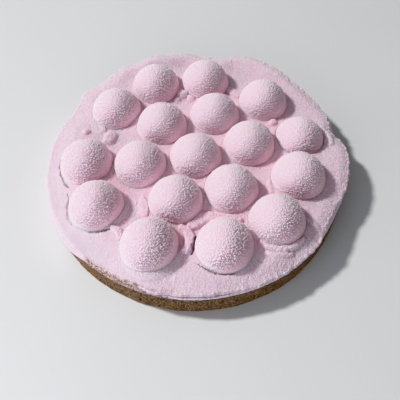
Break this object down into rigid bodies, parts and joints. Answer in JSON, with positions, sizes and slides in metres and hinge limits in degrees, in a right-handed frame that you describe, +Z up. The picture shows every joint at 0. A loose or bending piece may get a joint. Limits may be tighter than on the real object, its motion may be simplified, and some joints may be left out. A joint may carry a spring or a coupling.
{
  "type": "mousse cake",
  "caption": "Low round cake: a brown baked base under pale pink velvet mousse, with mousse domes set close together over the whole top.",
  "frame": {"origin": "middle of the flat underside of the baked base", "axes": "+Z up out of the cake's top; +Y away from the side that shows the brown base, +X to the right of it"},
  "size_m": [0.229, 0.2352, 0.0454],
  "materials": {
    "baked_base": "porous baked crumb",
    "mousse": "matte velvet",
    "dome_mousse": "grainy matte velvet"
  },
  "bodies": {
    "root": {"cake_base": "baked_base", "mousse_layer": "mousse", "dome_01": "dome_mousse", "dome_02": "dome_mousse", "dome_03": "dome_mousse", "dome_04": "dome_mousse", "dome_05": "dome_mousse", "dome_06": "dome_mousse", "dome_07": "dome_mousse", "dome_08": "dome_mousse", "dome_09": "dome_mousse", "dome_10": "dome_mousse", "dome_11": "dome_mousse", "dome_12": "dome_mousse", "dome_13": "dome_mousse", "dome_14": "dome_mousse", "dome_15": "dome_mousse", "dome_16": "dome_mousse", "dome_17": "dome_mousse", "dome_18": "dome_mousse"}
  },
  "joints": []
}
